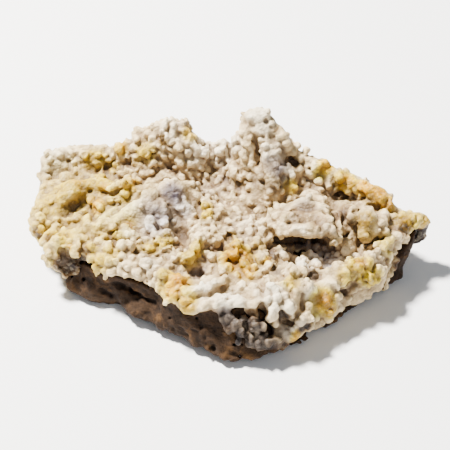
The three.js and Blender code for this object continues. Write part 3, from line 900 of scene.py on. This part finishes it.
        (345, 180, 14, 4.0, 0.1), (230, 326, 16, 3.0, 0.1), (256, 334, 12, 2.8, 0.8),
        (285, 334, 14, 3.4, 0.05), (234, 260, 12, 4.0, 0.2), (120, 165, 22, 3.3, 1.0),
        (412, 218, 14, 3.4, 0.15), (100, 205, 14, 4.0, 0.1), (190, 316, 9, 3.4, 0.0),
        (418, 238, 10, 3.4, 0.0), (406, 246, 9, 3.4, 0.0), (72, 264, 14, 3.6, 0.0),
        (350, 212, 12, 3.8, 0.0),
    ],
    "grain": [(0.16, 0.8, 8), (0.28, 1.7, 9)],  # height, size and seed
    "grainBetween": 0.3,  # share of the grain left where no knobs grow
    "grainCell": 2.0,  # size of the cells in which that share is worked out
    "triangles": 192000,
    # How deep each point lies in hollows, valleys and creases, used to paint shade there.
    "dips": {"recessShade": (2, 1.3, 2, 58), "valley": (4, 2.6, 3, 86), "creaseShade": (1, 0.55, 2, 80)},
    "tintSeed": 31,
    # Colour patches, real stains and also painted light and shade: place in pixels, reach in pixels and
    # strength.
    "colourPatches": {
        # Paler quartz, partly painted light: the lit back rim, hump top and saddle, and knobs brightened
        # inside the shaded cave.
        "whiteAndPaintedLight": [
            (222, 156, 10, 0.8), (315, 175, 8, 0.7), (126, 194, 6, 0.6), (170, 217, 10, 0.9),
            (52, 170, 8, 0.7), (316, 309, 8, 0.8), (302, 262, 12, 0.9), (320, 258, 12, 1.0),
            (334, 264, 12, 1.0), (345, 256, 8, 0.6), (283, 254, 5, 0.9), (272, 304, 10, 0.6),
            (256, 114, 12, 0.8), (262, 126, 10, 0.7), (205, 288, 12, 0.8), (222, 148, 10, 0.8),
            (270, 290, 14, 0.8), (230, 300, 16, 0.6), (304, 200, 10, 0.4), (184, 204, 12, 0.7),
            (154, 222, 14, 0.9), (168, 228, 10, 0.8), (110, 218, 14, 0.7), (172, 128, 14, 0.5),
            (200, 152, 14, 0.7), (236, 142, 10, 0.7), (212, 146, 10, 0.6), (60, 158, 14, 0.6),
            (320, 172, 10, 0.6), (312, 292, 9, 0.8), (287, 328, 9, 0.5), (288, 308, 8, 0.7),
            (127, 236, 8, 0.8), (285, 172, 10, 0.6), (268, 150, 14, 0.5), (130, 205, 14, 0.6),
            (150, 264, 8, 0.6), (245, 225, 16, 0.3), (300, 232, 8, 0.3), (166, 122, 12, 0.3),
        ],
        "yellowStain": [
            (75, 215, 60, 0.3), (50, 205, 14, 0.6), (62, 190, 12, 0.8), (78, 184, 10, 0.9),
            (95, 160, 10, 0.8), (100, 176, 8, 0.9), (42, 232, 8, 0.8), (52, 235, 8, 0.9),
            (66, 238, 10, 0.8), (124, 195, 8, 0.7), (145, 152, 9, 0.7), (112, 168, 7, 0.7),
            (150, 248, 8, 0.7), (165, 243, 8, 0.9), (110, 255, 10, 0.5), (99, 262, 9, 0.8),
            (168, 276, 10, 0.8), (197, 248, 8, 0.6), (190, 258, 9, 0.6), (206, 206, 6, 0.9),
            (206, 214, 6, 0.9), (291, 187, 7, 0.6), (360, 268, 13, 1.0), (372, 278, 10, 0.9),
            (346, 276, 9, 0.6), (80, 182, 14, 0.9), (104, 183, 9, 0.9), (174, 284, 14, 1.3),
            (320, 172, 8, 0.5), (345, 180, 10, 0.8), (320, 302, 13, 0.8), (238, 258, 14, 1.2),
            (128, 226, 8, 0.5), (290, 282, 8, 0.7), (115, 240, 10, 0.6), (252, 262, 8, 0.5),
            (410, 218, 12, 0.6), (186, 300, 10, 0.6), (90, 250, 8, 0.6), (386, 244, 10, 0.4),
            (86, 202, 10, 0.5),
        ],
        "orangeStain": [
            (121, 148, 6, 0.95), (128, 186, 7, 0.7), (134, 181, 5, 0.95), (104, 189, 6, 0.5),
            (94, 203, 9, 0.8), (181, 281, 10, 0.85), (174, 291, 9, 0.6), (238, 261, 14, 0.8),
            (247, 271, 9, 0.8), (233, 247, 9, 0.6), (326, 165, 7, 1.0), (345, 183, 8, 0.7),
            (366, 187, 10, 1.0), (380, 192, 10, 1.1), (388, 203, 8, 1.0), (325, 302, 9, 1.0),
            (331, 311, 7, 0.8), (297, 337, 6, 0.9), (128, 226, 4, 0.8), (70, 247, 3, 0.8),
            (427, 222, 6, 0.6), (360, 263, 6, 0.7), (190, 133, 7, 0.4), (98, 213, 3, 0.8),
            (163, 140, 4, 0.5), (78, 180, 6, 0.5), (196, 254, 5, 0.5), (186, 306, 8, 0.6),
            (268, 260, 4, 0.7), (92, 272, 5, 0.6),
        ],
        "oliveStain": [
            (364, 222, 10, 1.1), (366, 234, 7, 0.9), (372, 206, 6, 0.6), (88, 161, 8, 0.4),
            (84, 190, 6, 0.3), (232, 238, 5, 0.8), (105, 238, 7, 0.6), (135, 248, 5, 0.6),
            (41, 233, 5, 0.8), (404, 223, 8, 0.8), (264, 264, 4, 0.6), (138, 162, 4, 0.5),
            (258, 246, 8, 0.4), (97, 262, 4, 0.6),
        ],
        # Grey stain, mostly painted shade: under the front lip, in the cave and on the shaded sides of
        # columns, crests and hollows.
        "greyStainAndShade": [
            (174, 193, 8, 1.0), (282, 317, 6, 1.6), (304, 326, 6, 1.6), (300, 241, 7, 2.2),
            (314, 240, 6, 1.6), (326, 241, 5, 1.4), (311, 282, 6, 0.5), (226, 317, 10, 1.3),
            (236, 324, 10, 1.5), (248, 318, 6, 2.2), (262, 318, 6, 2.2), (270, 330, 5, 2.0),
            (240, 334, 8, 2.0), (232, 332, 8, 1.6), (252, 326, 8, 1.8), (262, 334, 9, 1.7),
            (248, 341, 8, 1.7), (256, 324, 7, 1.6), (258, 344, 8, 1.5), (272, 344, 8, 1.3),
            (282, 343, 7, 1.0), (262, 180, 10, 0.3), (270, 165, 10, 0.35), (236, 342, 5, 2.0),
            (284, 162, 8, 0.5), (282, 180, 8, 0.4), (184, 238, 9, 0.4), (196, 274, 8, 0.4),
            (334, 194, 7, 0.4), (228, 322, 11, 0.9), (238, 330, 11, 0.95), (258, 332, 12, 0.75),
            (284, 333, 9, 0.5), (256, 344, 9, 1.0), (302, 322, 7, 0.4), (279, 241, 6, 1.5),
            (290, 242, 6, 1.5), (301, 243, 6, 1.5), (312, 243, 5, 1.0), (324, 245, 5, 0.9),
            (288, 249, 6, 0.7), (274, 256, 5, 0.9), (277, 272, 5, 0.7), (312, 276, 7, 0.9),
            (352, 218, 5, 0.5), (345, 214, 8, 0.35), (276, 172, 8, 0.6), (273, 188, 7, 0.5),
            (281, 152, 5, 0.4), (312, 246, 10, 0.6), (328, 250, 9, 0.5), (342, 290, 6, 0.6),
            (70, 212, 8, 0.5), (305, 208, 8, 0.45), (294, 218, 7, 0.3), (335, 232, 5, 0.4),
            (198, 275, 8, 0.5), (326, 230, 8, 0.3), (156, 214, 6, 0.5),
        ],
        # Lilac chalcedony, partly painted bluish shade in hollows and in the cave.
        "lilacStainAndShade": [
            (155, 212, 16, 1.0), (172, 194, 12, 1.2), (150, 228, 14, 0.7), (180, 212, 12, 0.5),
            (198, 275, 9, 0.8), (200, 190, 14, 0.4), (225, 185, 12, 0.3), (320, 250, 18, 0.6),
            (78, 208, 8, 0.4), (145, 256, 8, 0.4), (276, 165, 10, 0.5), (165, 238, 10, 0.6),
            (330, 262, 12, 0.6), (292, 262, 10, 0.5),
        ],
        # Brown stain and painted shade: under the right tip, in the left pocket, in crevices and under the
        # front lip.
        "brownStainAndShade": [
            (404, 230, 6, 0.8), (414, 232, 5, 1.2), (143, 284, 5, 0.5), (284, 318, 5, 1.2),
            (304, 327, 5, 1.0), (398, 230, 5, 0.8), (60, 268, 7, 1.4), (70, 272, 8, 1.4), (84, 274, 8, 1.4),
            (210, 316, 9, 0.9), (270, 350, 9, 0.7), (290, 347, 8, 0.6), (246, 350, 7, 0.7),
            (184, 237, 9, 0.6), (178, 246, 7, 0.6), (76, 202, 7, 0.35), (162, 139, 5, 0.8),
            (172, 169, 5, 0.8), (128, 163, 4, 0.95), (106, 171, 4, 0.9), (120, 180, 5, 0.6),
            (290, 159, 6, 0.8), (230, 236, 4, 0.5), (345, 292, 5, 0.5), (396, 264, 5, 0.6),
            (84, 252, 6, 0.95), (66, 262, 9, 0.95), (75, 262, 10, 0.95), (84, 266, 8, 0.95),
            (222, 249, 5, 0.7), (212, 250, 5, 0.6), (334, 216, 5, 1.8), (338, 226, 5, 1.8),
            (430, 227, 4, 1.6), (424, 231, 6, 2.4), (417, 236, 8, 2.8), (409, 242, 7, 2.6),
            (402, 257, 5, 1.8), (399, 266, 5, 1.6), (420, 243, 8, 2.8), (70, 268, 10, 2.2),
            (82, 262, 8, 1.8), (62, 262, 7, 1.6), (73, 256, 7, 1.2), (86, 270, 7, 2.0), (270, 351, 9, 1.6),
            (285, 348, 8, 1.1), (256, 351, 8, 1.4), (226, 330, 9, 0.8), (304, 212, 12, 0.42),
            (318, 222, 9, 0.45), (345, 216, 9, 0.7), (350, 224, 6, 0.7), (344, 206, 6, 0.5),
            (270, 250, 5, 1.2), (272, 260, 4, 1.2), (310, 275, 6, 0.4), (38, 232, 6, 0.7),
            (48, 238, 4, 0.7), (220, 330, 8, 0.8), (184, 126, 7, 0.3), (256, 150, 3, 0.9),
            (226, 178, 4, 0.8), (203, 158, 4, 0.5), (276, 129, 3, 0.4), (403, 234, 4, 1.0),
            (352, 286, 6, 0.4), (262, 312, 6, 0.9), (250, 315, 6, 0.9), (340, 195, 5, 0.5),
            (94, 216, 3, 0.7), (114, 244, 3, 0.6), (212, 187, 3, 0.6), (239, 188, 3, 0.6),
        ],
    },
    "patchReach": 1.2,  # times the reach above
    "patchFall": 1.2,  # how fast a patch fades towards its edge
    "finish": {
        "patches": (9.0, 3.0, 0.55),
        "mottle": (2.4, 4.0, 0.6),
        "fine": (0.7, 3.0, 0.55),
        "bumps": (0.5, 2.0, 0.55),
        "tintShare": 0.40,  # how far each knob's own tint moves the colour along the tints
        "patchShare": 0.70,
        "mottleShare": 0.60,
        "shadeShift": -0.22,
        "tints": [(0.0, (0.26, 0.195, 0.10)), (0.35, (0.40, 0.30, 0.15)),
                  (0.6, (0.58, 0.44, 0.235)), (1.0, (0.89, 0.725, 0.44))],
        "patchMottle": 1.4,  # how the colour patches break up at their edges
        "patchTint": 0.4,
        "patchShift": 0.15,
        # Pale colour of the white patches, partly painted light.
        "white": (0.86, 0.78, 0.60, 1),
        "patchColours": {  # what each lets through at full strength
            "yellowStain": (0.86, 0.76, 0.05, 1),
            "orangeStain": (0.82, 0.57, 0.02, 1),
            "oliveStain": (0.42, 0.34, 0.09, 1),
            # Lilac that is partly painted shade.
            "lilacStainAndShade": (0.60, 0.61, 0.88, 1),
            # Grey that is mostly painted shade.
            "greyStainAndShade": (0.22, 0.21, 0.25, 1),
            # Brown that is partly painted shade.
            "brownStainAndShade": (0.20, 0.145, 0.11, 1),
        },
        "grain": (0.90, 0.80, 0.58, 1),  # pale crystals that show through the colour patches
        "grainSize": 1.1,
        "grainFrom": 0.6,  # crystals paler than this show
        "grainShare": 0.16,
        # Painted shade: the brownish colour given to recesses.
        "crevice": (0.25, 0.19, 0.13, 1),
        "creviceMottle": 0.8,
        "creviceShift": 0.05,
        "creaseShade": (0.47, 0.41, 0.35, 1),  # painted shade between two knobs: what is left of a colour there
        # Painted shade that darkens the broader valleys.
        "valley": (0.62, 0.57, 0.53, 1),
        "specks": [(0.30, (0.74, 0.69, 0.62)), (0.44, (1, 1, 1))],  # place on the ramp and colour
        "speckShare": 0.6,
        "roughness": (0.42, 0.65),
        "gloss": 0.22,
        "glow": 0.04,  # light that soaks into the quartz
        "glowDepth": 0.0012,  # metres
        "glowColour": (1.0, 0.7, 0.45),
        "bumpHeight": 0.6,  # against the mottle's own height
        "grainHeight": -0.9,
        "relief": 0.00035,  # metres
        "bump": 0.8,
    },
}


def addForms(field):
    for bars in crustPlan["forms"].values():
        for width, lift, line in bars:
            places, ways, sizes = castLine(np.minimum(field, rockField), line, width)
            points = places + ways * (crustPlan["formSunk"] * sizes - lift)[:, None]
            for i in range(max(len(points) - 1, 1)):
                j = min(i + 1, len(points) - 1)
                stamp(field, points[i], points[j], sizes[i], sizes[j], crustPlan["formBlend"],
                      warp=crustPlan["formWarp"])


def placedKnobs(field):
    spots = np.array([spot for group in crustPlan["knobs"].values() for spot in group], float)
    points, ways = castPixels(np.minimum(field, rockField), spots[:, :2])
    sizes = np.array([pixelsToMm(spot[2], point) for spot, point in zip(spots, points)])
    return points + ways * (sizes * (1 - crustPlan["placed"]["rise"]))[:, None], sizes


# The half-width in pixels of a strewn knob at each pixel, and the share of them that grows.
def zoneValues(pixels):
    plan = crustPlan["strewn"]
    total = np.full(len(pixels), plan["usualWeight"])
    size = plan["usualWeight"] * plan["usual"] * np.ones(len(pixels))
    share = plan["usualWeight"] * plan["usualShare"] * np.ones(len(pixels))
    for u, v, reach, width, grown in crustPlan["zones"]:
        near = np.exp(-((pixels[:, 0] - u) ** 2 + (pixels[:, 1] - v) ** 2) / reach ** 2)
        total += near
        size += near * width
        share += near * grown
    return size / total, share / total


# The share of knobs that grow, over the whole grid.
def shareField():
    cell = crustPlan["grainCell"]
    axes = [low + cell * np.arange(count) for low, count in zip(gridLow, cellCounts(cell))]
    corners = np.stack(np.meshgrid(*axes, indexing="ij"), axis=-1)
    _, shares = zoneValues(toPixels(corners.reshape(-1, 3)))
    return stretched(shares.reshape(corners.shape[:3]).astype(np.float32), cell)


# Knobs strewn over what the placed ones leave bare, each clear of its neighbours' middles.
def strewnKnobs(field, placed, placedSizes):
    plan = crustPlan["strewn"]
    draw = np.random.default_rng(plan["seed"])
    points, _, _ = openGrid(field).convertToPolygons(isovalue=0)
    points = points + gridLow
    points = points[draw.permutation(len(points))[:plan["tried"]]]
    ways = outward(field, points)
    keep = ways[:, 2] > plan["lowestFacing"]
    points, ways = points[keep], ways[keep]
    widths, shares = zoneValues(toPixels(points))
    spread = np.exp(draw.normal(0, plan["sizeSpread"], len(points)))
    sizes = widths / viewPlan["pixelsPerMm"] * np.clip(spread, *plan["sizeRange"])
    grows = draw.uniform(0, 1, len(points)) < shares
    free = np.ones(len(points), bool)
    for point, size in zip(placed, placedSizes):
        free &= ((points - point) ** 2).sum(1) > (plan["clearance"] * size) ** 2
    chosen = []
    for i in range(len(points)):
        if free[i]:
            chosen.append(i)
            free &= ((points - points[i]) ** 2).sum(1) > (plan["packing"] * sizes[i]) ** 2
    chosen = np.array(chosen)
    turned = ways[chosen] @ lookWay > plan["turnedAway"]
    turned &= np.random.default_rng(plan["seed"] + 1).uniform(0, 1, len(chosen)) < plan["turnedShare"]
    chosen = np.concatenate([chosen[grows[chosen]], chosen[turned & ~grows[chosen]]])
    return points[chosen], ways[chosen], sizes[chosen], draw


# Grows the knobs on a field and gives back their middles.
def growKnobs(field):
    blend, warp = crustPlan["knobBlend"], crustPlan["knobWarp"]
    placed, placedSizes = placedKnobs(field)
    points, ways, sizes, draw = strewnKnobs(field, placed, placedSizes)
    placedWays = outward(field, placed)
    plan = crustPlan["placed"]
    for point, size, way in zip(placed, placedSizes, placedWays):
        root = point - way * size * plan["root"]
        stamp(field, root, point, size * plan["foot"], size, blend, warp=warp * size * plan["warp"])
    plan = crustPlan["strewn"]
    for point, way, size in zip(points, ways, sizes):
        rise = draw.uniform(*plan["rise"])
        growth = way * plan["outward"] + np.array([0, 0, plan["upward"]]) + draw.normal(0, plan["wander"], 3)
        tip = point - growth * size * (1 - rise)
        root = tip - growth * size * plan["root"]
        stamp(field, root, tip, size, size * plan["tip"], blend, warp=warp * size)
        side = draw.normal(0, 1, 3)
        side -= way * (side @ way)
        if draw.uniform() < plan["lobes"]:
            lobe = tip + side / np.linalg.norm(side) * size * plan["lobeAside"]
            stamp(field, lobe, lobe, size * plan["lobeWidth"], size * plan["lobeWidth"], blend)
    print("knobs grown:", len(placed), "placed and", len(points), "strewn")
    return np.concatenate([placed, points])


# Gives back the crust, its larger forms alone and the knobs' middles.
def growCrust():
    field = blurred(distanceField(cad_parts["quartz_crust"]), crustPlan["smoothing"]) + crustPlan["base"]
    field += noiseSum(crustPlan["swell"])
    addForms(field)
    carveLines(field, crustPlan["hollows"], crustPlan["hollowBlend"])
    forms = field.copy()
    middles = growKnobs(field)
    carveLines(field, crustPlan["gaps"], crustPlan["gapBlend"])
    least = crustPlan["grainBetween"]
    field += (least + (1 - least) * shareField()) * noiseSum(crustPlan["grain"])
    return np.maximum(field, crustPlan["rockClear"] - rockField), forms, middles


# How strongly a colour patch's spots, cast on a field, colour each point; the patches hold stains as well as
# painted shade and painted light.
def patchValues(field, spots, points):
    spots = np.array(spots, float)
    places, _ = castPixels(field, spots[:, :2])
    total = np.zeros(len(points))
    for place, spot in zip(places, spots):
        reach = crustPlan["patchReach"] * pixelsToMm(spot[2], place)
        away = ((points - place) ** 2).sum(1) / reach ** 2
        total = np.maximum(total, spot[3] * np.exp(-crustPlan["patchFall"] * away * away))
    return total


# One random value for each knob, given to the points nearest to its middle.
def nearestDraws(points, middles, seed):
    tree = KDTree(len(middles))
    for i, middle in enumerate(middles):
        tree.insert(middle, i)
    tree.balance()
    draws = np.random.default_rng(seed).uniform(0, 1, len(middles))
    return np.array([draws[tree.find(point)[1]] for point in points])


def crustMaterial():
    finish = crustPlan["finish"]
    material, tree = newMaterial("creamQuartz")
    where = addNode(tree, "ShaderNodeTexCoord").outputs["Object"]
    patches = noiseNode(tree, where, *finish["patches"])
    mottle = noiseNode(tree, where, *finish["mottle"])
    fine = noiseNode(tree, where, *finish["fine"])
    tint = valueOf(tree, "tint")
    crystals = addNode(tree, "ShaderNodeTexVoronoi", Vector=where, Scale=mmPerMetre / finish["grainSize"])
    paleness = addNode(tree, "ShaderNodeSeparateColor", Color=crystals.outputs["Color"]).outputs[0]
    shade = mathNode(tree, "MULTIPLY_ADD", tint, finish["tintShare"], finish["shadeShift"])
    shade = mathNode(tree, "MULTIPLY_ADD", patches, finish["patchShare"], shade)
    shade = mathNode(tree, "MULTIPLY_ADD", mottle, finish["mottleShare"], shade)
    colour = rampNode(tree, shade, finish["tints"])
    edge = mathNode(tree, "MULTIPLY_ADD", mottle, finish["patchMottle"], finish["patchShift"])
    edge = mathNode(tree, "MULTIPLY_ADD", tint, finish["patchTint"], edge)
    # Paler quartz and painted light from the white patches.
    white = mathNode(tree, "MULTIPLY", edge, valueOf(tree, "whiteAndPaintedLight"), clamp=True)
    colour = mixColours(tree, white, colour, finish["white"])
    # Each patch multiplies the colour; the grey, brown and lilac ones partly paint shade.
    for name, passed in finish["patchColours"].items():
        amount = mathNode(tree, "MULTIPLY", edge, valueOf(tree, name))
        patchFilter = addNode(tree, "ShaderNodeGamma", Color=passed, Gamma=amount).outputs[0]
        colour = mixColours(tree, 1.0, colour, patchFilter, "MULTIPLY")
    pale = rangeNode(tree, paleness, From_Min=finish["grainFrom"], From_Max=1.0, To_Max=finish["grainShare"])
    pale = mathNode(tree, "MULTIPLY", pale, mathNode(tree, "SUBTRACT", 1.0, valueOf(tree, "greyStainAndShade")))
    colour = mixColours(tree, pale, colour, finish["grain"])
    # Painted shade in the recesses, broken up by the mottle.
    recessShade = mathNode(tree, "MULTIPLY_ADD", mottle, finish["creviceMottle"], finish["creviceShift"])
    recessShade = mathNode(tree, "MULTIPLY", valueOf(tree, "recessShade"), recessShade, clamp=True)
    colour = mixColours(tree, recessShade, colour, finish["crevice"])
    # Painted shade in the creases between knobs and in the broader valleys.
    for name in ("creaseShade", "valley"):
        colour = mixColours(tree, valueOf(tree, name), colour, finish[name], "MULTIPLY")
    specks = rampNode(tree, fine, finish["specks"])
    colour = mixColours(tree, finish["speckShare"], colour, specks, "MULTIPLY")
    bumps = noiseNode(tree, where, *finish["bumps"])
    height = mathNode(tree, "MULTIPLY_ADD", bumps, finish["bumpHeight"], mottle)
    height = mathNode(tree, "MULTIPLY_ADD", crystals.outputs["Distance"], finish["grainHeight"], height)
    shader = finishSurface(tree, finish, colour, mottle, height)
    shader.inputs["Subsurface Weight"].default_value = finish["glow"]
    shader.inputs["Subsurface Radius"].default_value = finish["glowColour"]
    shader.inputs["Subsurface Scale"].default_value = finish["glowDepth"]
    return material


barWarp = noiseSum(fieldPlan["warp"])
rockField = growRock()
print("rock field made")
crustField, formField, knobMiddles = growCrust()
print("crust field made")

crust = meshFrom("quartzCrust", crustField, crustPlan["triangles"])
rock = meshFrom("brownMatrix", rockField, rockPlan["triangles"])
storeDips(crust, crustField, crustPlan["dips"])
storeDips(rock, rockField, rockPlan["dips"])
crustPoints = vertexPoints(crust)
storeValues(crust, "tint", nearestDraws(crustPoints, knobMiddles, crustPlan["tintSeed"]))
for name, spots in crustPlan["colourPatches"].items():
    storeValues(crust, name, patchValues(formField, spots, crustPoints))
print("colour patches laid")

crust.data.materials.append(crustMaterial())
rock.data.materials.append(rockMaterial())
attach(crust, "root")
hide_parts("quartz_crust")
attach(rock, "root")
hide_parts("matrix_rock")
print("pieces attached")

# Floor and light, in metres.
studioPlan = {
    "floorSize": 3.0,
    "floorColour": (0.85, 0.86, 0.88, 1),
    "floorRoughness": 0.9,
    "lights": {  # where from, how far, how wide, how strong and its colour
        "keyLight": ((-0.42, 0.22, 0.88), 1.2, 0.16, 104, (1.0, 0.96, 0.89)),
        "fillLight": ((0.3, -1.0, 0.8), 1.5, 1.2, 6, (1, 1, 1)),
    },
    "skyColour": (0.88, 0.94, 1.0, 1),
    "skyStrength": 0.30,
}


def makeFloor():
    half = studioPlan["floorSize"] / 2
    corners = [(-half, -half, 0), (half, -half, 0), (half, half, 0), (-half, half, 0)]
    mesh = bpy.data.meshes.new("floor")
    mesh.from_pydata(corners, [], [(0, 1, 2, 3)])
    floor = bpy.data.objects.new("floor", mesh)
    bpy.context.scene.collection.objects.link(floor)
    material, tree = newMaterial("paleFloor")
    shader = tree.nodes["Principled BSDF"]
    shader.inputs["Base Color"].default_value = studioPlan["floorColour"]
    shader.inputs["Roughness"].default_value = studioPlan["floorRoughness"]
    mesh.materials.append(material)


def addAreaLight(name, way, distance, size, power, colour):
    data = bpy.data.lights.new(name, "AREA")
    data.energy = power
    data.size = size
    data.color = colour
    light = bpy.data.objects.new(name, data)
    bpy.context.scene.collection.objects.link(light)
    place = Vector(way).normalized() * distance
    light.matrix_world = aimed(place, -place)


def makeSky():
    world = bpy.data.worlds.new("studioWorld")
    world.use_nodes = True
    sky = world.node_tree.nodes["Background"]
    sky.inputs["Color"].default_value = studioPlan["skyColour"]
    sky.inputs["Strength"].default_value = studioPlan["skyStrength"]
    bpy.context.scene.world = world


makeFloor()
for name, light in studioPlan["lights"].items():
    addAreaLight(name, *light)
makeSky()
print("studio ready")
